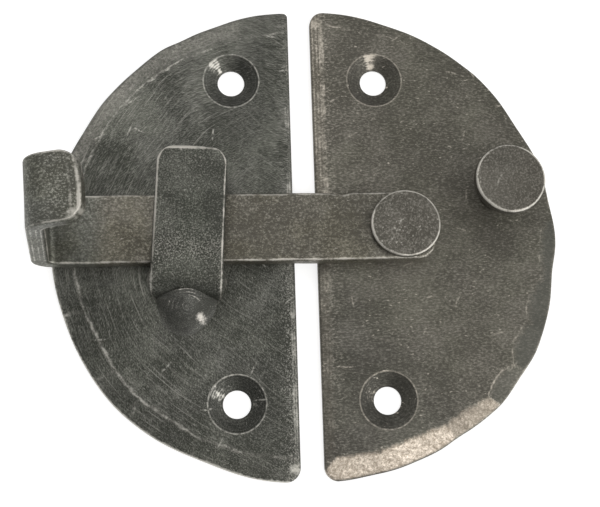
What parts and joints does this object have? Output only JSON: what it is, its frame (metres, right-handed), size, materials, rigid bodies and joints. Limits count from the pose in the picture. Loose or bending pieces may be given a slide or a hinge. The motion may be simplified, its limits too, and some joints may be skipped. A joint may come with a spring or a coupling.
{
  "type": "cupboard catch latch",
  "caption": "Round forged-steel cupboard latch in two half-disc plates: a pivoting bar with a thumb hook drops into a J-shaped keeper, with a fixed pull knob on the door side.",
  "frame": {"origin": "centre of the rectangle of screw holes, on the back faces of the plates", "axes": "+Z out of the cupboard door towards the user, +Y up the door, +X from the keeper plate to the door plate"},
  "size_m": [0.0962, 0.088, 0.0297],
  "materials": {
    "plate_steel": "dark waxed, hammered rim, fine scratches",
    "strip_steel": "dark waxed, speckled, worn bright edges",
    "pin_steel": "dark waxed, worn bright rim"
  },
  "bodies": {
    "plates": {"keep_plate": "plate_steel", "keeper": "strip_steel", "door_plate": "plate_steel", "pivot_rivet": "pin_steel", "pull_knob": "pin_steel"},
    "bar": {"latch_bar": "strip_steel"}
  },
  "joints": [
    {"name": "bar_pivot", "type": "hinge", "parent": "plates", "child": "bar", "pos_m": [0.0173, 0.0011, 0.00385], "axis": [0, 0, -1], "range_deg": [-2.5, 129]}
  ]
}
